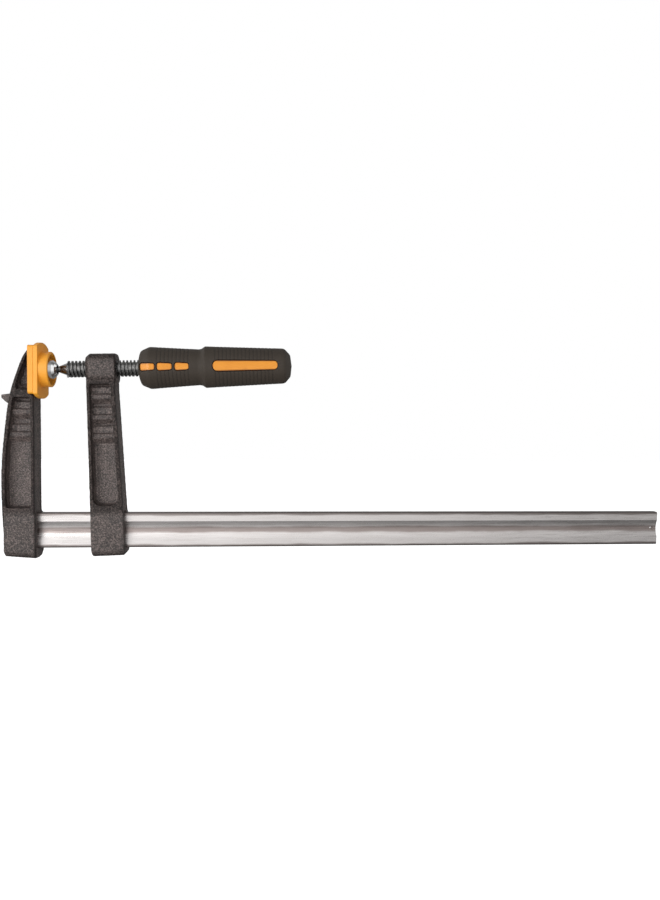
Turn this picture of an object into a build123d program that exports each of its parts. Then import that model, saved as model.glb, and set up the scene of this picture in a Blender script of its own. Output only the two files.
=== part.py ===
from build123d import *
import os
from math import cos, radians, sin

# F clamp, 120 mm reach.  All sizes in millimetres.
# The pieces are drawn with X along the bar (away from the fixed jaw), Z up towards
# the spindle and Y across the thickness; X = 0 is the fixed jaw's cast face and
# Z = 0 the bar's centre line.  At export everything is moved so that the origin is
# the middle of the fixed jaw's clamping face.

# bar
bar_h = 30.0                # height of the bar's section
bar_t = 8.0                 # thickness of the bar's section
bar_edge_r = 1.6            # rounding of the section's corners
groove_w = 15.0             # width of the hollow rolled in each wide face
groove_d = 1.9              # depth of that hollow
bar_x0 = -20.5              # end of the bar inside the fixed jaw
bar_x1 = 552.5              # free end of the bar
end_hole_r = 1.6            # hole through the web near the free end
end_hole_inset = 4.2        # its distance from the free end

# clamping line
reach = 120.6               # bar's top edge to the spindle at the pad
pad_z = bar_h / 2 + reach   # height of the ball's centre and of the foot's axis

# castings
flange_y = 10.5             # half width of the I-section
web_y = 2.1                 # half thickness of its web
body_bottom = -bar_h / 2 - 2.0  # how low the flanged body reaches inside a sleeve
pocket_draft = 7.0          # draft of the pocket walls, degrees
sleeve_y = 13.7             # half width of the sleeve round the bar
sleeve_top = 19.8           # where the flanges start to widen into the sleeve
sleeve_swell = 9.0          # where they have gained two thirds of that width
sleeve_shoulder = -4.0      # where the sleeve has its full width
sleeve_lip_z = 14.5         # top of the part of a sleeve that stands out past the face
sleeve_chamfer_y = 4.6      # width of the slope along the sleeve's lower corners
sleeve_chamfer_z = 4.4      # height of that slope
sleeve_crown = 0.8          # drop of the crowned underside from the slope to the middle
sleeve_round = 3.0          # rounding of the corners along the sleeve
rib_height = 4.4            # height of the ribs across the web
rib_flat = 4.4              # drop from a rib's top to the end of its crown
rib_foot = 8.8              # drop from a rib's top to the foot of its slope
rib_bevel_x = 0.8           # bevel along a rib's upper edge, off its height
rib_bevel_z = 1.2           # and down its crown
step_height = 2.0           # height of the flat step above each rib
step_length = 6.6           # length of that step
step_slope = 1.2            # length of the slope at its end
step_inset = 1.4            # how far the step stops short of the rib's ends

# fixed jaw
jaw_back = [                # the curved back from the top down, as (x, z)
    (-5.3, 149.8), (-12.2, 135.0), (-18.3, 115.5), (-21.9, 93.0),
    (-24.8, 66.0), (-25.9, 46.0), (-25.7, 26.0), (-24.7, 2.0),
]
jaw_tip = 2.2               # width of the jaw at its top end
jaw_rim = 2.6               # rim along the jaw's curved back
jaw_face_rim = 2.2          # rim along its straight face
jaw_bottom_back = -21.6     # underside of the jaw at its back
jaw_bottom_front = -23.6    # underside of the jaw at its face
jaw_sleeve_x0 = -23.4       # back end of the jaw's sleeve
jaw_sleeve_x1 = 1.0         # front end of the jaw's sleeve
jaw_pocket_z0 = 19.5        # bottom of the long pocket
jaw_pocket_z1 = 112.0       # its top
jaw_ribs = (102.6, 83.6)    # tops of the ribs on the jaw's web
tip_pocket = [              # back edge of the small pocket behind the clamping face
    (-5.6, 146.2), (-9.9, 135.0), (-14.2, 121.5),
]
tip_pocket_top = 147.8      # its top end at the clamping face
tip_pocket_wall = 0.8       # wall between it and the clamping face
tip_ramp_z0 = 117.4         # foot of the slope that leads down into it
tip_ramp_z1 = 122.5         # head of that slope
nub_outline = [             # small lug on the jaw's back
    (-27.4, 114.0), (-27.4, 111.3), (-23.5, 107.6), (-19.0, 104.6), (-17.0, 116.4), (-21.3, 114.8),
]
nub_y = 4.0                 # half width of that lug
face_y = 14.0               # half width of the cast clamping face
face_z0 = 116.1             # bottom of the cast clamping face
face_z1 = 153.3             # top of the cast clamping face
face_depth = 3.2            # thickness of the cast clamping face
cap_wall = 1.6              # wall of the plastic cap over it
cap_skirt = 2.8             # how far the cap's skirt reaches back
cap_skin = 1.4              # thickness of the skirt
cap_corner = 2.4            # rounding of the cap's corners
cap_edge = 0.4              # rounding of the edges of its face

# sliding arm, drawn square to the bar about the rock point and then rocked
rock_x = 60.0               # X of the rock point on the bar's centre line
rock = 2.0                  # lean of the arm towards the fixed jaw, degrees
arm_slot_h = 31.3           # height of the opening round the bar
arm_slot_w = 8.7            # width of the opening round the bar
arm_left = 46.4             # arm's edge nearest the fixed jaw
arm_right_top = 69.8        # far edge at the boss
arm_right_low = 72.8        # far edge at the sleeve
arm_lip = 0.4               # how far the sleeve stands out past the far edge
arm_pocket_z0 = 21.8        # bottom of the arm's pocket
arm_pocket_z1 = 124.0       # its top
arm_rim_left = 2.4          # rim along the near edge
arm_rim_right = 3.2         # rim along the far edge
arm_ribs = (116.0, 98.9, 82.8)  # tops of the ribs on the arm's web
arm_bottom = -21.8          # underside of the arm's sleeve
arm_corner_r = 3.0          # rounding of the sleeve's two lower ends
boss_r = 12.5               # half height and half width of the threaded boss
boss_corner = 8.5           # rounding of its corners
boss_x0 = 46.6              # near end of the boss
boss_x1 = 70.8              # far end of the boss
boss_cone = 3.2             # bevel round the boss's near end

# spindle, measured along its own axis from the centre of its ball
ball_x = 11.2               # X of the ball's centre when the clamp is closed
ball_r = 5.0
neck_r = 2.3
neck_end = 6.4              # where the neck starts to widen
thread_start = 14.2
thread_end = 79.0
thread_major_r = 7.0        # Tr14 x 3
thread_minor_r = 5.3
pitch = 3.0
shank_r = 5.2               # plain shank inside the handle
shank_end = 152.0
shank_flat = 4.3            # half distance over the flats on the shank
thread_gap = 0.1            # radial gap of the boss's and the handle's bores round the crests

# foot
seat_gap = 0.05             # running gap on each side of the ball seat
seat_r = 6.1                # outside radius of the ball seat
hub_r = 8.6                 # outside radius of the pressure plate's hub
hub_end = 17.0              # X of the open end of the hub
hub_mouth = 3.6             # radius of the hub's opening round the neck
plate_r = 12.8              # radius of the pressure plate
plate_t = 2.1               # its thickness
pad_floor = 1.4             # thickness of the plastic in front of the plate
pad_t = 3.5                 # thickness of the pad's rim
pad_w = 31.0                # width of the pad across Y
pad_flat = 39.0             # length of its straight sides
pad_h = 46.8                # overall height of the pad
pad_drop = 1.2              # how far the pad's middle lies under its collar's
pad_corner = 1.6            # rounding of the pad's corners
pad_edge = 0.4              # rounding of its edges
collar_r = 14.8             # outside radius of the pad's collar
collar_bore = 12.9          # inside radius of the collar
collar_end = 12.6           # X of the collar's rim
collar_edge = 0.6           # bevel round that rim
pad_gap = 0.05              # gap between the two clamping faces when closed

# handle, measured along the spindle's axis from the ball's centre
handle_start = 73.4
handle_end = 202.8
sleeve_wall = 2.6           # thickness of the soft sleeve
inlay_drop = 0.5            # how far the inlays lie under the sleeve's surface
handle_profile = [          # distance along the axis, outside radius, rounding
    (73.4, 8.5, 1.0), (75.2, 14.6, 4.0), (82.6, 17.9, 6.0), (123.8, 15.3, 4.0), (126.0, 15.7, 1.0),
    (129.0, 17.75, 1.6), (196.6, 15.1, 5.0), (201.6, 9.4, 4.0), (202.8, 0.0, 0.0),
]
inlay_margin = 0.65         # groove between an inlay and the edge of its window
short_inlay_h0 = 6.2        # height of a short inlay at its front
short_inlay_h1 = 5.2        # height of a short inlay at its back
short_inlay_round = 0.7     # share of its half height that the corners round
short_inlays = [(75.8, 88.0), (90.2, 102.0), (104.6, 115.8)]
long_inlay = (136.0, 190.2)
long_inlay_h0 = 8.9         # height of the long inlay at its front
long_inlay_h1 = 7.2         # height of the long inlay at its back
grip_zones = [(90.0, 115.8), (138.0, 186.2)]
grip_pitch = 3.2            # spacing of the grooves round the grip
grip_groove_w = 1.1         # half width of a groove, measured above the surface
grip_groove_d = 0.25        # depth of a groove


def side_sketch(points, curve=None):
    """Face in the XZ plane from a chain of straight points and an optional spline closing it."""
    edges = [Line((a[0], 0, a[1]), (b[0], 0, b[1])) for a, b in zip(points, points[1:])]
    if curve:
        edges.append(Spline(*[(x, 0, z) for x, z in [points[-1]] + curve + [points[0]]]))
    else:
        edges.append(Line((points[-1][0], 0, points[-1][1]), (points[0][0], 0, points[0][1])))
    return make_face(Wire(edges).edges())


def slab(face, half):
    """The face thickened to both sides of Y = 0."""
    return extrude(face, amount=half, dir=(0, 1, 0), both=True)


def block(x0, x1, half_y, z0, z1):
    return Pos((x0 + x1) / 2, 0, (z0 + z1) / 2) * Box(x1 - x0, 2 * half_y, z1 - z0)


def pocket(points, corner, low_corner):
    """A drafted pocket on each side of the web, open at the flange's faces."""
    face = make_face(Polyline(*points, close=True).edges())
    face = fillet(face.vertices().group_by(Axis.Y)[-1], corner)
    face = fillet(face.vertices().group_by(Axis.Y)[0], low_corner)
    depth = flange_y - web_y
    near = extrude(Plane.XZ.offset(flange_y) * face, amount=-depth, taper=pocket_draft)
    return near + mirror(near, about=Plane.XZ)


def web_ribs(x0, x1, tops):
    """Ribs across the web, each with a flat step above it and a gentle slope below it."""
    low = web_y - 0.2
    high = web_y + rib_height
    step = web_y + step_height
    rib = [(low, 0), (high - rib_bevel_x, -0.3), (high, -rib_bevel_z), (high, -rib_flat), (low, -rib_foot)]
    ledge = [(low, step_length), (step, step_length - step_slope), (step, 0.4), (low, -1)]
    pieces = []
    for outline, inset in ((rib, 0), (ledge, step_inset)):
        opposite = [(-y, z) for y, z in reversed(outline)]
        section = make_face(Polyline(*outline, *opposite, close=True).edges())
        bar_across = extrude(Plane.YZ.offset(x0 + inset) * section, amount=x1 - x0 - 2 * inset)
        pieces += [Pos(0, 0, top) * bar_across for top in tops]
    return pieces


def sleeve_section(x, bottom):
    """Section of the part of a casting that widens to surround the bar."""
    slope_top = bottom + sleeve_crown + sleeve_chamfer_z
    slope_foot = bottom + sleeve_crown
    swell_y = flange_y + (sleeve_y - flange_y) * 2 / 3
    half = [(flange_y, sleeve_top), (swell_y, sleeve_swell), (sleeve_y, sleeve_shoulder),
            (sleeve_y, slope_top), (sleeve_y - sleeve_chamfer_y, slope_foot), (0, bottom)]
    section = make_face(Polyline(*half, *[(-y, z) for y, z in reversed(half[:-1])], close=True).edges())
    corners = [v for v in section.vertices() if abs(v.Y - bottom) > 0.1 and v.Y < sleeve_shoulder - 1]
    return Plane.YZ.offset(x) * fillet(corners, sleeve_round)


def sleeve_block(x0, x1, bottom0, bottom1):
    return loft([sleeve_section(x0, bottom0), sleeve_section(x1, bottom1)], ruled=True)


def bar():
    sag = groove_d
    radius = (groove_w**2 / 4 + sag**2) / (2 * sag)
    section = RectangleRounded(bar_t, bar_h, bar_edge_r)
    for side in (-1, 1):
        section -= Pos(side * (bar_t / 2 - sag + radius), 0) * Circle(radius)
    rail = extrude(Plane.YZ.offset(bar_x0) * section, amount=bar_x1 - bar_x0)
    hole = Pos(bar_x1 - end_hole_inset, 0, 0) * Rot(90, 0, 0) * Cylinder(end_hole_r, 2 * bar_t)
    return rail - hole


def fixed_jaw():
    foot = [(jaw_sleeve_x0 + 0.6, body_bottom), (0, body_bottom)]
    outline = side_sketch(foot + [(0, face_z1), (-jaw_tip, face_z1)], jaw_back)
    body = slab(outline, flange_y)
    z0 = jaw_pocket_z0
    z1 = jaw_pocket_z1
    low = [(-jaw_face_rim, z0), (-jaw_face_rim, z1), (-18.8 + jaw_rim, z1), (-24.2 + jaw_rim, 72),
           (-25.8 + jaw_rim, 46), (-25.4 + jaw_rim, z0)]
    tip_x = -face_depth - tip_pocket_wall
    tip_back_x, tip_foot = tip_pocket[-1]
    high = [(tip_x, tip_foot), (tip_x, tip_pocket_top)] + tip_pocket
    ramp_points = [(flange_y + 1, tip_ramp_z0), (flange_y + 1, tip_ramp_z1), (web_y + 2, tip_ramp_z1)]
    ramp = make_face(Polyline(*ramp_points, close=True).edges())
    ramp_x0 = tip_back_x + 0.6
    ramp = extrude(Plane.YZ.offset(ramp_x0) * ramp, amount=tip_x - ramp_x0)
    body -= pocket(low, 2.0, 2.4)
    body -= pocket(high, 0.6, 0.6)
    body -= ramp + mirror(ramp, about=Plane.XZ)
    for rib in web_ribs(-23.6, -1.0, jaw_ribs):
        body += rib & slab(outline, flange_y)
    sleeve = sleeve_block(jaw_sleeve_x0, jaw_sleeve_x1, jaw_bottom_back, jaw_bottom_front)
    sleeve -= block(0, jaw_sleeve_x1 + 1, sleeve_y + 1, sleeve_lip_z, sleeve_top + 1)
    pad = fillet(block(-face_depth, 0, face_y, face_z0, face_z1).edges().filter_by(Axis.X), 1.0)
    nub_shape = make_face(Polyline(*nub_outline, close=True).edges())
    nub = extrude(Plane.XZ * nub_shape, amount=nub_y, both=True)
    body = body + sleeve + pad + nub
    body -= block(-cap_skirt - 0.2, 1, sleeve_y + 1, face_z0 - cap_skin - 0.2, face_z0)
    body -= block(-40, 40, bar_t / 2, -bar_h / 2, bar_h / 2)
    return body


def fixed_jaw_cap():
    centre = (face_z0 + face_z1) / 2
    outside = RectangleRounded(2 * (face_y + cap_skin), face_z1 - face_z0 + 2 * cap_skin, cap_corner)
    cap = extrude(Plane.YZ.offset(-cap_skirt) * Pos(0, centre) * outside, amount=cap_skirt + cap_wall)
    cap = fillet(cap.faces().sort_by(Axis.X)[-1].edges(), cap_edge)
    inside = RectangleRounded(2 * face_y, face_z1 - face_z0, 1.0)
    return cap - extrude(Plane.YZ.offset(-cap_skirt) * Pos(0, centre) * inside, amount=cap_skirt)


def clamp_axis(part):
    """Carries a piece drawn along +X from the ball's centre to its place on the leaning spindle."""
    return Pos(ball_x, 0, pad_z) * Rot(0, -rock, 0) * part


def arm_right(z, z_top):
    """X of the arm's far edge at the height z; it is straight from the sleeve up to z_top."""
    return arm_right_low + (arm_right_top - arm_right_low) * (z - sleeve_top) / (z_top - sleeve_top)


def sliding_arm():
    turn = radians(rock)
    axis_z = pad_z * cos(turn) + (rock_x - ball_x) * sin(turn)
    taper_top = axis_z - 18
    outline = side_sketch([
        (arm_left + 2, body_bottom), (arm_right_low, body_bottom), (arm_right_low, sleeve_top),
        (arm_right_top, taper_top), (arm_right_top, axis_z), (boss_x0 + 0.4, axis_z),
        (arm_left, 60), (arm_left - 0.4, 26), (arm_left, -12)])
    body = slab(outline, flange_y)
    z0 = arm_pocket_z0
    z1 = arm_pocket_z1
    hollow = [(arm_left - 0.2 + arm_rim_left, z0), (arm_right(z0, taper_top) - arm_rim_right, z0),
              (arm_right(z1, taper_top) - arm_rim_right, z1), (arm_left + 0.6 + arm_rim_left, z1)]
    body -= pocket(hollow, 1.8, 6.0)
    for rib in web_ribs(arm_left + 1.6, arm_right_low - 3.6, arm_ribs):
        body += rib & slab(outline, flange_y)
    sleeve_x1 = arm_right_low + arm_lip
    sleeve = sleeve_block(arm_left, sleeve_x1, arm_bottom, arm_bottom)
    sleeve -= block(arm_right_low, sleeve_x1 + 1, sleeve_y + 1, sleeve_lip_z, sleeve_top + 1)
    ends = RectangleRounded(sleeve_x1 - arm_left, 2 * (sleeve_top - arm_bottom), arm_corner_r)
    ends = Plane.XZ * Pos((arm_left + sleeve_x1) / 2, sleeve_top) * ends
    sleeve &= extrude(ends, amount=sleeve_y + 1, both=True)
    boss_length = boss_x1 - boss_x0
    boss = RectangleRounded(2 * boss_r, 2 * boss_r, boss_corner)
    boss = extrude(Plane.YZ.offset(-boss_length / 2) * boss, amount=boss_length)
    boss = chamfer(boss.edges().group_by(Axis.X)[0], boss_cone, boss_cone * 0.8)
    boss = fillet(boss.edges().group_by(Axis.X)[-1], 0.9)
    body = body + sleeve + Pos((boss_x0 + boss_x1) / 2, 0, axis_z) * boss
    body -= block(arm_left - 10, arm_right_low + 10, arm_slot_w / 2, -arm_slot_h / 2, arm_slot_h / 2)
    bore = Rot(0, 90, 0) * Cylinder(thread_major_r + thread_gap, 60)
    body -= Pos((boss_x0 + boss_x1) / 2, 0, axis_z) * bore
    return Pos(rock_x, 0, 0) * Rot(0, -rock, 0) * Pos(-rock_x, 0, 0) * body


def revolve_x(points):
    """Solid of revolution about X from (x, radius) points, closed along the axis."""
    chain = [(points[0][0], 0)] + points + [(points[-1][0], 0)]
    return revolve(make_face(Polyline(*[(x, r) for x, r in chain], close=True).edges()), Axis.X)


def spindle():
    root = thread_minor_r
    body = revolve_x([(3.0, neck_r), (neck_end, neck_r), (thread_start, root), (thread_end, root),
                      (thread_end, shank_r), (shank_end, shank_r)])
    body += Sphere(ball_r)
    turns = thread_end - pitch - thread_start
    helix = Helix(pitch, turns, root - 0.2)
    deep = thread_major_r - root + 0.2
    base = 0.62 * pitch / 2
    tip = 0.34 * pitch / 2
    tooth = make_face(Polyline((0, -base), (deep, -tip), (deep, tip), (0, base), close=True).edges())
    tooth = Plane(origin=helix @ 0, x_dir=(1, 0, 0), z_dir=(0, -1, 0)) * tooth
    ridge = sweep(tooth, path=helix, is_frenet=True)
    body += Pos(thread_start - 0.4, 0, 0) * Rot(0, 90, 0) * ridge
    for side in (-1, 1):
        body -= Pos(shank_end - 30, 0, side * (shank_flat + shank_r)) * Box(60, 4 * shank_r, 2 * shank_r)
    return clamp_axis(body)


def ball_seat():
    shell = Sphere(seat_r - seat_gap) - Sphere(ball_r + seat_gap)
    shell &= Pos(0.3, 0, 0) * Box(7.4, 4 * seat_r, 4 * seat_r)
    return clamp_axis(shell)


def pressure_plate():
    back = cap_wall + pad_gap + pad_floor
    plate = revolve_x([(back, plate_r), (back + plate_t, plate_r), (back + plate_t, hub_r + 0.8),
                       (back + plate_t + 0.8, hub_r), (ball_x - 0.4, hub_r), (ball_x + 2.4, hub_r - 0.9),
                       (ball_x + 4.4, hub_r - 2.4), (hub_end, hub_r - 4.2)])
    plate -= Pos(ball_x, 0, 0) * Sphere(seat_r + seat_gap)
    plate -= revolve_x([(ball_x, hub_mouth), (hub_end + 1, hub_mouth)])
    return Pos(0, 0, pad_z) * plate


def pad_cap():
    x0 = cap_wall + pad_gap
    bulge = (pad_h - pad_flat) / 2
    w = pad_w / 2
    f = pad_flat / 2
    edges = [Line((w, -f), (w, f)), ThreePointArc((w, f), (0, f + bulge), (-w, f)),
             Line((-w, f), (-w, -f)), ThreePointArc((-w, -f), (0, -f - bulge), (w, -f))]
    face = fillet(make_face(edges).vertices(), pad_corner)
    plate = extrude(Plane.YZ.offset(x0) * Pos(0, -pad_drop) * face, amount=pad_t)
    plate = fillet(plate.edges().group_by(Axis.X)[0] + plate.edges().group_by(Axis.X)[-1], pad_edge)
    collar = revolve_x([(x0 + pad_t - 0.5, collar_r), (collar_end - collar_edge, collar_r),
                        (collar_end, collar_r - collar_edge)])
    body = plate + collar
    lip = x0 + pad_floor + plate_t
    body -= revolve_x([(x0 + pad_floor, collar_bore), (lip + 0.1, collar_bore),
                       (lip + 0.5, collar_bore - 0.5), (lip + 1.1, collar_bore - 0.5),
                       (lip + 1.6, collar_bore), (collar_end + 1, collar_bore)])
    return Pos(0, 0, pad_z) * body


def handle_body(inset):
    """The handle's outside shape, shrunk by the inset."""
    middle = (handle_start + handle_end) / 2
    squeeze = 1 - 2 * inset / (handle_end - handle_start)
    outline = []
    for s, r, _ in handle_profile:
        near_step = 100 < s < 150
        outline.append((s if near_step else middle + (s - middle) * squeeze, max(r - inset, 0.0)))
    face = make_face(Polyline((outline[0][0], 0), *outline, close=True).edges())
    for (s, r), (_, _, rounding) in zip(outline, handle_profile):
        if rounding:
            corner = face.vertices().sort_by_distance((s, r, 0))[0]
            face = fillet(corner, rounding)
    return revolve(face, Axis.X)


def inlay_face(span, h0, h1, roundness, margin):
    """Outline of an inlay that tapers from height h0 to height h1."""
    corners = []
    for end, height, way in ((span[0], h0, 1), (span[1], h1, -1)):
        radius = roundness * height / 2
        for side in (-1, 1):
            corners.append(Pos(end + way * radius, side * (height / 2 - radius)) * Circle(radius + margin))
    return make_hull([edge for corner in corners for edge in corner.edges()])


def inlay_prisms(margin):
    """Prisms of the inlay outlines, grown by the margin, running out to both sides in Y."""
    faces = [inlay_face(s, short_inlay_h0, short_inlay_h1, short_inlay_round, margin) for s in short_inlays]
    faces.append(inlay_face(long_inlay, long_inlay_h0, long_inlay_h1, 1.0, margin))
    prisms = []
    for face in faces:
        near = extrude(Plane.XZ.offset(8.0) * face, amount=20)
        prisms += [near, mirror(near, about=Plane.XZ)]
    return prisms


def handle_core():
    core = handle_body(sleeve_wall)
    shell = handle_body(inlay_drop)
    for prism in inlay_prisms(0.0):
        core += prism & shell
    core -= shank_bore()
    return clamp_axis(core)


def shank_bore():
    mouth_r = thread_major_r + thread_gap
    bore = revolve_x([(handle_start - 1, mouth_r), (thread_end, mouth_r),
                      (thread_end, shank_r), (shank_end, shank_r)])
    for side in (-1, 1):
        bore -= Pos(shank_end - 30, 0, side * (shank_flat + shank_r)) * Box(60, 4 * shank_r, 2 * shank_r)
    return bore


def grip_radius(s):
    """Outside radius of the handle on the straight stretches of its profile."""
    for (s0, r0, _), (s1, r1, _) in zip(handle_profile, handle_profile[1:]):
        if s0 <= s <= s1:
            return r0 + (r1 - r0) * (s - s0) / (s1 - s0)


def grip_grooves():
    rings = []
    for start, end in grip_zones:
        for i in range(int((end - start) / grip_pitch) + 1):
            s = start + i * grip_pitch
            lip = grip_radius(s) + grip_groove_d
            notch = [(s - grip_groove_w, lip), (s, lip - 2 * grip_groove_d), (s + grip_groove_w, lip)]
            rings.append(revolve(make_face(Polyline(*notch, close=True).edges()), Axis.X))
    return rings


def handle_sleeve():
    sleeve = handle_body(0)
    mouth_r = thread_major_r + thread_gap
    sleeve -= revolve_x([(handle_start - 1, mouth_r), (handle_start + 10, mouth_r)])
    for prism in inlay_prisms(inlay_margin):
        sleeve -= prism
    sleeve -= handle_body(sleeve_wall)
    sleeve -= grip_grooves()
    return clamp_axis(sleeve)


pieces = {
    "bar": bar, "fixed_jaw": fixed_jaw, "fixed_jaw_cap": fixed_jaw_cap, "sliding_arm": sliding_arm,
    "spindle": spindle, "ball_seat": ball_seat, "pressure_plate": pressure_plate, "pad_cap": pad_cap,
    "handle_core": handle_core, "handle_sleeve": handle_sleeve,
}

os.makedirs("parts", exist_ok=True)
to_origin = Pos(-cap_wall, 0, -(face_z0 + face_z1) / 2)
for name, make in pieces.items():
    solid = to_origin * make()
    export_step(solid, f"parts/{name}.step")
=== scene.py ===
import math

import bpy
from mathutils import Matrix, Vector

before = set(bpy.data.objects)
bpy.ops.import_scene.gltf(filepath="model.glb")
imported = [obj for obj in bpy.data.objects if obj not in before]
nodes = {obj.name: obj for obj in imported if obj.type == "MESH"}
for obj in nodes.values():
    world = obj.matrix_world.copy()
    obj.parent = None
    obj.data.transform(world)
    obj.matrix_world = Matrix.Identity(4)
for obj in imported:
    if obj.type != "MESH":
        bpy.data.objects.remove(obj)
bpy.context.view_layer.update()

# Places that the materials follow, in metres.
BAR_Z = -0.1347                 # height of the bar's centre line
BAR_HOLLOW = 0.0034             # height off the centre line where the hollows' dull scale ends
BAR_EDGE = 0.0120               # height off the centre line where the edges' scale starts
WEB_Y = 0.0062                  # a casting's web and pocket walls lie within this of the mid-plane
FLANGE_Y = (0.0080, 0.0109)     # its flanges' rims reach from here to here
SLEEVE_Y = 0.0120               # its sleeve starts here
SECTION_REACH = 0.02            # length of the colour ramps laid across the bar and the castings
BALL = (0.0096, 0.0, 0.0009)    # centre of the spindle's ball, which its axis passes through
LEAN = math.radians(2.0)        # rise of the spindle's axis away from the ball

# The handle, measured along the spindle's axis from the ball's centre.
GRIP = [                        # place and radius of the grip's outline
    (0.0752, 0.0146), (0.0826, 0.0179), (0.1238, 0.0153),
    (0.1290, 0.01775), (0.1966, 0.0151),
]
GRIP_REACH = 0.25               # length of the colour ramps laid along the handle
INLAY_REACH = 0.001             # length of the colour ramps laid across an inlay's edge
GROOVES = [(0.0900, 0.1158), (0.1380, 0.1862)]  # first and last groove of each ribbed zone
GROOVE_PITCH = 0.0032
SHORT_INLAY = (0.0031, 0.0026)  # half height at its front and at its back
LONG_INLAY = (0.00445, 0.0036)
INLAYS = [                      # start, end and half heights
    (0.0758, 0.0880, SHORT_INLAY),
    (0.0902, 0.1020, SHORT_INLAY),
    (0.1046, 0.1158, SHORT_INLAY),
    (0.1360, 0.1902, LONG_INLAY),
]
INLAY_GAP = 0.0013              # depth of the gap round an inlay under the grip's outline, below which the gap is painted dark as shade
INLAY_RIM = 0.0007              # width of an inlay's rim that is painted browner as shade

FLOOR_Z = -0.46                 # well below the bar, so that the clamp casts no near shadow


# ---------- materials ----------

def new_material(name):
    """An empty principled material with object coordinates."""
    mat = bpy.data.materials.new(name)
    mat.use_nodes = True
    tree = mat.node_tree
    shader = tree.nodes["Principled BSDF"]
    coords = tree.nodes.new("ShaderNodeTexCoord").outputs["Object"]
    return mat, tree, shader, coords


def stretched(tree, coords, scale):
    """The coordinates scaled along each axis."""
    mapping = tree.nodes.new("ShaderNodeMapping")
    mapping.inputs["Scale"].default_value = scale
    tree.links.new(coords, mapping.inputs["Vector"])
    return mapping.outputs["Vector"]


def on_spindle(tree, coords):
    """Position from the ball's centre: along the spindle's axis, across the clamp, and up."""
    mapping = tree.nodes.new("ShaderNodeMapping")
    mapping.vector_type = "TEXTURE"
    mapping.inputs["Location"].default_value = BALL
    mapping.inputs["Rotation"].default_value = (0.0, -LEAN, 0.0)
    tree.links.new(coords, mapping.inputs["Vector"])
    parts = tree.nodes.new("ShaderNodeSeparateXYZ")
    tree.links.new(mapping.outputs["Vector"], parts.inputs["Vector"])
    return parts.outputs


def multiply_colour(tree, first, second):
    """The product of two colours."""
    mix = tree.nodes.new("ShaderNodeMix")
    mix.data_type = "RGBA"
    mix.blend_type = "MULTIPLY"
    mix.inputs["Factor"].default_value = 1.0
    tree.links.new(first, mix.inputs["A"])
    tree.links.new(second, mix.inputs["B"])
    return mix.outputs["Result"]


def noise(tree, coords, scale, detail=3.0, rough=0.5):
    """A cloudy pattern between 0 and 1."""
    tex = tree.nodes.new("ShaderNodeTexNoise")
    tex.inputs["Scale"].default_value = scale
    tex.inputs["Detail"].default_value = detail
    tex.inputs["Roughness"].default_value = rough
    tree.links.new(coords, tex.inputs["Vector"])
    return tex.outputs["Fac"]


def ramp(tree, fac, stops):
    """A colour ramp through (position, grey or colour) stops."""
    node = tree.nodes.new("ShaderNodeValToRGB")
    elements = node.color_ramp.elements
    while len(elements) < len(stops):
        elements.new(0.5)
    for element, (pos, value) in zip(elements, stops):
        element.position = pos
        element.color = (value,) * 3 + (1,) if isinstance(value, float) else tuple(value) + (1,)
    tree.links.new(fac, node.inputs["Fac"])
    return node.outputs["Color"]


def math_node(tree, op, a, b):
    """A math node; a and b are each a number or another node's output."""
    node = tree.nodes.new("ShaderNodeMath")
    node.operation = op
    for socket, value in zip(node.inputs, (a, b)):
        if isinstance(value, float):
            socket.default_value = value
        else:
            tree.links.new(value, socket)
    return node.outputs[0]


def over(tree, distance, reach, stops):
    """A colour ramp whose stops are distances in metres, none further than reach."""
    scaled = math_node(tree, "MULTIPLY", distance, 1.0 / reach)
    return ramp(tree, scaled, [(place / reach, value) for place, value in stops])


def bump(tree, shader, height, strength, distance):
    """Small relief in the shading."""
    node = tree.nodes.new("ShaderNodeBump")
    node.inputs["Strength"].default_value = strength
    node.inputs["Distance"].default_value = distance
    tree.links.new(height, node.inputs["Height"])
    tree.links.new(node.outputs["Normal"], shader.inputs["Normal"])


def cast_paint():
    """Black hammered paint with brownish glints, duller on the flanges' rims; painted shade darkens the
    rims and the sleeve, and the webs keep full colour as painted light.
    """
    mat, tree, shader, coords = new_material("cast_paint")
    fine = noise(tree, coords, 900.0, 3.0, 0.7)
    broad = noise(tree, coords, 90.0, 2.0, 0.5)
    mixed = math_node(tree, "ADD", fine, math_node(tree, "MULTIPLY", broad, 0.16))
    colour = ramp(tree, mixed, [(0.44, (0.019, 0.0155, 0.014)), (0.59, (0.080, 0.063, 0.058)),
                                (0.73, (0.240, 0.187, 0.172))])
    place = tree.nodes.new("ShaderNodeSeparateXYZ")
    tree.links.new(coords, place.inputs["Vector"])
    out = math_node(tree, "ABSOLUTE", place.outputs["Y"], 0.0)
    inner, outer = FLANGE_Y
    # Painted light and shade by distance from the mid-plane: full colour on the webs and pocket walls,
    # painted shade on the flanges' rims and, less, on the sleeve.
    skin = over(tree, out, SECTION_REACH, [
        (0.0, 1.0), (WEB_Y, 0.92), (inner, 0.42), (outer, 0.42), (SLEEVE_Y, 0.74)])
    tree.links.new(multiply_colour(tree, colour, skin), shader.inputs["Base Color"])
    sheen = over(tree, out, SECTION_REACH, [
        (0.0, 0.5), (WEB_Y, 0.5), (inner, 0.16), (outer, 0.16), (SLEEVE_Y, 0.45)])
    tree.links.new(sheen, shader.inputs["Specular IOR Level"])
    rough = ramp(tree, broad, [(0.3, 0.40), (0.7, 0.55)])
    tree.links.new(rough, shader.inputs["Roughness"])
    bump(tree, shader, fine, 0.85, 0.0006)
    return mat


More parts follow.
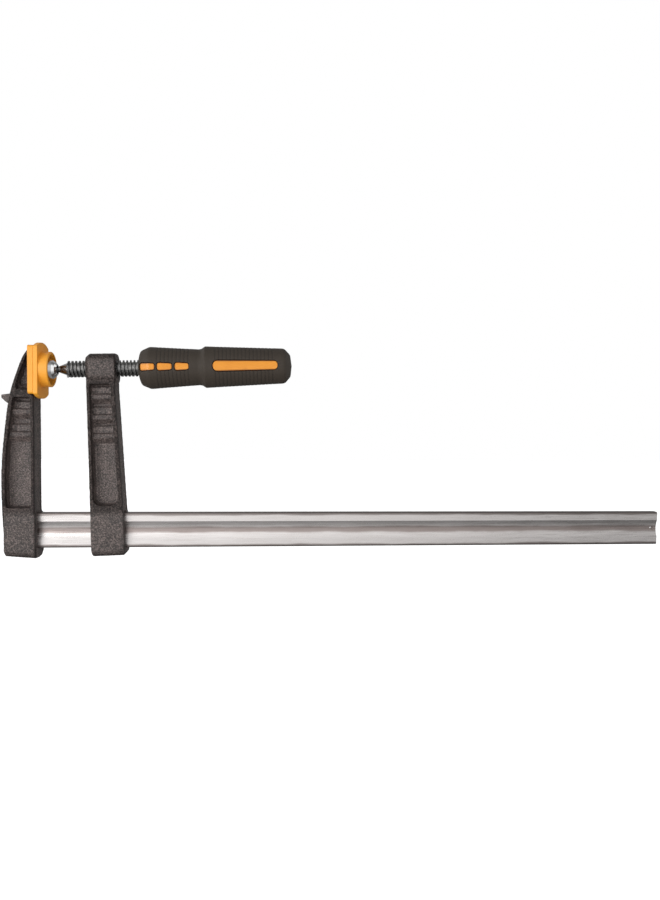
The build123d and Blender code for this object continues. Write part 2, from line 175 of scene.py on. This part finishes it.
def drawn_steel():
    """Bright steel with fine marks along the bar; the hollows' middles and the edges keep duller scale."""
    mat, tree, shader, coords = new_material("drawn_steel")
    lines = noise(tree, stretched(tree, coords, (0.02, 1.0, 1.0)), 1500.0, 4.0, 0.6)
    blotch = noise(tree, stretched(tree, coords, (0.25, 1.0, 1.0)), 120.0, 3.0, 0.5)
    shader.inputs["Metallic"].default_value = 1.0
    bright = ramp(tree, math_node(tree, "ADD", lines, math_node(tree, "MULTIPLY", blotch, 0.3)),
                  [(0.45, (0.75, 0.705, 0.69)), (0.85, (0.93, 0.89, 0.875))])
    place = tree.nodes.new("ShaderNodeSeparateXYZ")
    tree.links.new(coords, place.inputs["Vector"])
    off_axis = math_node(tree, "ABSOLUTE", math_node(tree, "SUBTRACT", place.outputs["Z"], BAR_Z), 0.0)
    wander = math_node(tree, "MULTIPLY", math_node(tree, "SUBTRACT", blotch, 0.5), 0.003)
    band = math_node(tree, "ADD", off_axis, wander)
    clean = (1.0, 1.0, 1.0)
    scale = over(tree, band, SECTION_REACH, [
        (BAR_HOLLOW - 0.0018, (0.53, 0.475, 0.46)), (BAR_HOLLOW, clean),
        (BAR_EDGE, clean), (BAR_EDGE + 0.0014, (0.36, 0.33, 0.32)),
    ])
    tree.links.new(multiply_colour(tree, bright, scale), shader.inputs["Base Color"])
    rough = ramp(tree, lines, [(0.3, 0.22), (0.75, 0.38)])
    tree.links.new(rough, shader.inputs["Roughness"])
    bump(tree, shader, lines, 0.25, 0.00006)
    return mat


def dark_steel():
    """Oiled dark steel of the spindle."""
    mat, tree, shader, coords = new_material("dark_steel")
    stain = noise(tree, coords, 420.0, 3.0, 0.55)
    shader.inputs["Metallic"].default_value = 1.0
    colour = ramp(tree, stain, [(0.35, (0.12, 0.12, 0.12)), (0.7, (0.37, 0.36, 0.35))])
    tree.links.new(colour, shader.inputs["Base Color"])
    rough = ramp(tree, stain, [(0.3, 0.14), (0.7, 0.26)])
    tree.links.new(rough, shader.inputs["Roughness"])
    bump(tree, shader, stain, 0.2, 0.00005)
    return mat


def plated_steel():
    """Bright zinc plate of the foot."""
    mat, tree, shader, coords = new_material("plated_steel")
    stain = noise(tree, coords, 300.0, 3.0, 0.5)
    shader.inputs["Metallic"].default_value = 1.0
    colour = ramp(tree, stain, [(0.3, (0.78, 0.78, 0.79)), (0.7, (0.93, 0.93, 0.93))])
    tree.links.new(colour, shader.inputs["Base Color"])
    rough = ramp(tree, stain, [(0.3, 0.08), (0.7, 0.16)])
    tree.links.new(rough, shader.inputs["Roughness"])
    bump(tree, shader, stain, 0.15, 0.00005)
    return mat


def orange_plastic(name, light, deep, rough_from, rough_to, shade=None):
    """Grained orange plastic; shade, when given, returns a colour that is multiplied in."""
    mat, tree, shader, coords = new_material(name)
    grain = noise(tree, coords, 2200.0, 3.0, 0.5)
    cloud = noise(tree, coords, 70.0, 2.0, 0.5)
    colour = ramp(tree, cloud, [(0.3, deep), (0.7, light)])
    if shade:
        colour = multiply_colour(tree, colour, shade(tree, coords))
    tree.links.new(colour, shader.inputs["Base Color"])
    rough = ramp(tree, grain, [(0.3, rough_from), (0.7, rough_to)])
    tree.links.new(rough, shader.inputs["Roughness"])
    bump(tree, shader, grain, 0.25, 0.00006)
    return mat


def painted_inlay_shade(tree, coords):
    """White on the inlays' faces, with painted shade: browner at their rims and dark in the gap round each
    one.
    """
    along, across, up = on_spindle(tree, coords)
    gap_level = over(tree, along, GRIP_REACH, [(place, radius - INLAY_GAP) for place, radius in GRIP])
    out = math_node(tree, "ABSOLUTE", across, 0.0)
    above = math_node(tree, "SUBTRACT", out, gap_level)
    # Painted shade: dark in the gap round each inlay.
    gap_shade = over(tree, above, INLAY_REACH, [(0.0, (0.06, 0.06, 0.10)), (0.0005, (1.0, 1.0, 1.0))])
    heights = []
    lengths = []
    for start, end, (front, back) in INLAYS:
        heights += [(start, front), (end, back)]
        lengths += [(start, 0.0), (start + INLAY_RIM, 1.0), (end - INLAY_RIM, 1.0), (end, 0.0)]
    off_axis = math_node(tree, "ABSOLUTE", up, 0.0)
    inside = math_node(tree, "SUBTRACT", over(tree, along, GRIP_REACH, heights), off_axis)
    sides = over(tree, inside, INLAY_REACH, [(0.00005, 0.0), (0.00005 + INLAY_RIM, 1.0)])
    face = math_node(tree, "MULTIPLY", sides, over(tree, along, GRIP_REACH, lengths))
    # Painted shade: browner at each inlay's rim.
    rim_shade = ramp(tree, face, [(0.0, (0.42, 0.30, 0.22)), (1.0, (1.0, 1.0, 1.0))])
    return multiply_colour(tree, gap_shade, rim_shade)


def black_plastic():
    """Plain moulded plastic of the hidden ball seat."""
    mat, tree, shader, coords = new_material("black_plastic")
    grain = noise(tree, coords, 1800.0, 2.0, 0.5)
    colour = ramp(tree, grain, [(0.3, (0.012, 0.012, 0.012)), (0.7, (0.03, 0.03, 0.03))])
    tree.links.new(colour, shader.inputs["Base Color"])
    shader.inputs["Roughness"].default_value = 0.5
    return mat


def groove_shade(tree, coords):
    """White, with a line of painted shade darkening each groove round the grip."""
    along = on_spindle(tree, coords)[0]
    from_first = math_node(tree, "SUBTRACT", along, GROOVES[0][0])
    turns = math_node(tree, "MULTIPLY", from_first, 2 * math.pi / GROOVE_PITCH)
    line = ramp(tree, math_node(tree, "COSINE", turns, 0.0), [(0.55, 0.0), (0.95, 1.0)])
    zones = []
    for first, last in GROOVES:
        zones += [(first - 0.0012, 0.0), (first - 0.0005, 1.0), (last + 0.0005, 1.0), (last + 0.0012, 0.0)]
    zone = over(tree, along, GRIP_REACH, zones)
    return ramp(tree, math_node(tree, "MULTIPLY", line, zone), [(0.0, 1.0), (1.0, 0.62)])


def soft_rubber():
    """Matt grip rubber with a fine grain."""
    mat, tree, shader, coords = new_material("soft_rubber")
    grain = noise(tree, coords, 2600.0, 3.0, 0.6)
    colour = ramp(tree, grain, [(0.3, (0.026, 0.0205, 0.016)), (0.75, (0.058, 0.045, 0.034))])
    # Painted shade in the grip's grooves.
    colour = multiply_colour(tree, colour, groove_shade(tree, coords))
    tree.links.new(colour, shader.inputs["Base Color"])
    shader.inputs["Specular IOR Level"].default_value = 0.35
    rough = ramp(tree, grain, [(0.3, 0.55), (0.7, 0.72)])
    tree.links.new(rough, shader.inputs["Roughness"])
    bump(tree, shader, grain, 0.3, 0.0001)
    return mat


paint = cast_paint()
cap_plastic = orange_plastic("cap_plastic", (0.88, 0.38, 0.034), (0.82, 0.34, 0.026), 0.36, 0.48)
inlay_plastic = orange_plastic("inlay_plastic", (0.765, 0.295, 0.023), (0.70, 0.255, 0.016), 0.30, 0.42,
                               painted_inlay_shade)
looks = {
    "bar": drawn_steel(),
    "fixed_jaw": paint,
    "sliding_arm": paint,
    "fixed_jaw_cap": cap_plastic,
    "pad_cap": cap_plastic,
    "spindle": dark_steel(),
    "ball_seat": black_plastic(),
    "pressure_plate": plated_steel(),
    "handle_core": inlay_plastic,
    "handle_sleeve": soft_rubber(),
}
for name, mat in looks.items():
    obj = nodes[name]
    obj.data.materials.clear()
    obj.data.materials.append(mat)


# ---------- shape ----------

def soften(obj, voxel, passes):
    """Rounds every edge of a casting or moulding by remeshing it finely and relaxing it."""
    remesh = obj.modifiers.new("skin", "REMESH")
    remesh.mode = "VOXEL"
    remesh.voxel_size = voxel
    remesh.use_smooth_shade = True
    smooth = obj.modifiers.new("relax", "SMOOTH")
    smooth.factor = 0.5
    smooth.iterations = passes


def roughen(obj, size, strength):
    """Lumps of the sand mould on a casting's skin."""
    tex = bpy.data.textures.new(obj.name + "_skin", "CLOUDS")
    tex.noise_scale = size
    tex.noise_depth = 2
    displace = obj.modifiers.new("lumps", "DISPLACE")
    displace.texture = tex
    displace.strength = strength
    displace.mid_level = 0.5
    displace.texture_coords = "LOCAL"


for name in ("fixed_jaw", "sliding_arm"):
    soften(nodes[name], 0.00042, 4)
    roughen(nodes[name], 0.0018, 0.0003)
soften(nodes["handle_sleeve"], 0.0003, 3)


# ---------- floor, light and camera ----------

floor_mesh = bpy.data.meshes.new("floor")
side = 6.0
corners = [(-side, -side, FLOOR_Z), (side, -side, FLOOR_Z), (side, side, FLOOR_Z), (-side, side, FLOOR_Z)]
floor_mesh.from_pydata(corners, [], [(0, 1, 2, 3)])
floor = bpy.data.objects.new("floor", floor_mesh)
bpy.context.scene.collection.objects.link(floor)
floor_mat, _, floor_shader, _ = new_material("floor_paper")
floor_shader.inputs["Base Color"].default_value = (0.92, 0.92, 0.92, 1)
floor_shader.inputs["Roughness"].default_value = 0.9
floor_shader.inputs["Emission Color"].default_value = (1.0, 1.0, 1.0, 1)
floor_shader.inputs["Emission Strength"].default_value = 0.7
floor_mesh.materials.append(floor_mat)
# The world below lights the object and shows in its steel, so the floor is left out of both.
floor.visible_glossy = False
floor.visible_diffuse = False


def by_direction(tree, component, stops):
    """A ramp along one component of a direction: -1 is its start, 0 its middle and 1 its end."""
    place = math_node(tree, "MULTIPLY_ADD", component, 0.5)
    place.node.inputs[2].default_value = 0.5
    return ramp(tree, place, stops)


def studio_world():
    """White behind the object for the camera; what lights the object varies with direction."""
    world = bpy.data.worlds.new("studio")
    bpy.context.scene.world = world
    world.use_nodes = True
    tree = world.node_tree
    backdrop = tree.nodes["Background"]
    backdrop.inputs["Color"].default_value = (1.0, 1.0, 1.0, 1)
    backdrop.inputs["Strength"].default_value = 1.0
    around = tree.nodes.new("ShaderNodeBackground")
    direction = tree.nodes.new("ShaderNodeTexCoord").outputs["Generated"]
    parts = tree.nodes.new("ShaderNodeSeparateXYZ")
    tree.links.new(direction, parts.inputs["Vector"])
    # Dim below and overhead, bright all round at the object's own height.
    vertical = by_direction(tree, parts.outputs["Z"], [
        (0.0, 0.26), (0.20, 0.34), (0.36, 0.80), (0.42, 0.95), (0.50, 1.0),
        (0.82, 1.0), (0.91, 0.45), (1.0, 0.25)])
    # Dark in two places to the right: the bar's far end mirrors the first, and the second,
    # at the very right, dims the faces turned that way.
    across = by_direction(tree, parts.outputs["X"], [
        (0.0, 1.0), (0.46, 1.0), (0.54, 0.80), (0.62, 0.75), (0.73, 0.32),
        (0.82, 0.30), (0.87, 1.0), (0.95, 1.0), (0.98, 0.5), (1.0, 0.4)])
    # Dimmer behind the object.
    away = by_direction(tree, parts.outputs["Y"], [(0.0, 1.0), (0.70, 1.0), (0.90, 0.45), (1.0, 0.20)])
    around.inputs["Strength"].default_value = 1.05
    glow = math_node(tree, "MULTIPLY", math_node(tree, "MULTIPLY", vertical, across), away)
    tree.links.new(glow, around.inputs["Color"])
    mix = tree.nodes.new("ShaderNodeMixShader")
    tree.links.new(tree.nodes.new("ShaderNodeLightPath").outputs["Is Camera Ray"], mix.inputs["Fac"])
    tree.links.new(around.outputs["Background"], mix.inputs[1])
    tree.links.new(backdrop.outputs["Background"], mix.inputs[2])
    tree.links.new(mix.outputs["Shader"], tree.nodes["World Output"].inputs["Surface"])


studio_world()


def softbox(name, place, aim, size, watts, mirrored=True):
    """A rectangular lamp; when not mirrored it stays out of reflections."""
    light = bpy.data.lights.new(name, "AREA")
    light.shape = "RECTANGLE"
    light.size, light.size_y = size
    light.energy = watts
    obj = bpy.data.objects.new(name, light)
    obj.location = place
    obj.visible_glossy = mirrored
    obj.rotation_euler = (Vector(aim) - Vector(place)).to_track_quat("-Z", "Y").to_euler()
    bpy.context.scene.collection.objects.link(obj)


softbox("key", (-0.75, -1.00, 0.10), (0.1, 0.0, -0.05), (0.6, 0.6), 5.8)
softbox("fill", (0.15, -1.20, -0.25), (0.15, 0.0, -0.05), (0.9, 0.35), 2.0, False)
softbox("low", (0.12, -0.58, -0.40), (0.15, 0.0, -0.02), (0.8, 0.1), 1.3, False)

camera_data = bpy.data.cameras.new("camera")
camera_data.sensor_fit = "VERTICAL"
camera_data.sensor_height = 24.0
camera_data.lens = 18.33
camera_data.clip_start = 0.01
camera = bpy.data.objects.new("camera", camera_data)
camera.location = (0.1856, -0.6016, -0.0360)
camera.rotation_euler = (math.radians(87.255), math.radians(-0.731), math.radians(-5.770))
bpy.context.scene.collection.objects.link(camera)
bpy.context.scene.camera = camera
bpy.context.scene.view_settings.view_transform = "Standard"

bpy.context.view_layer.update()
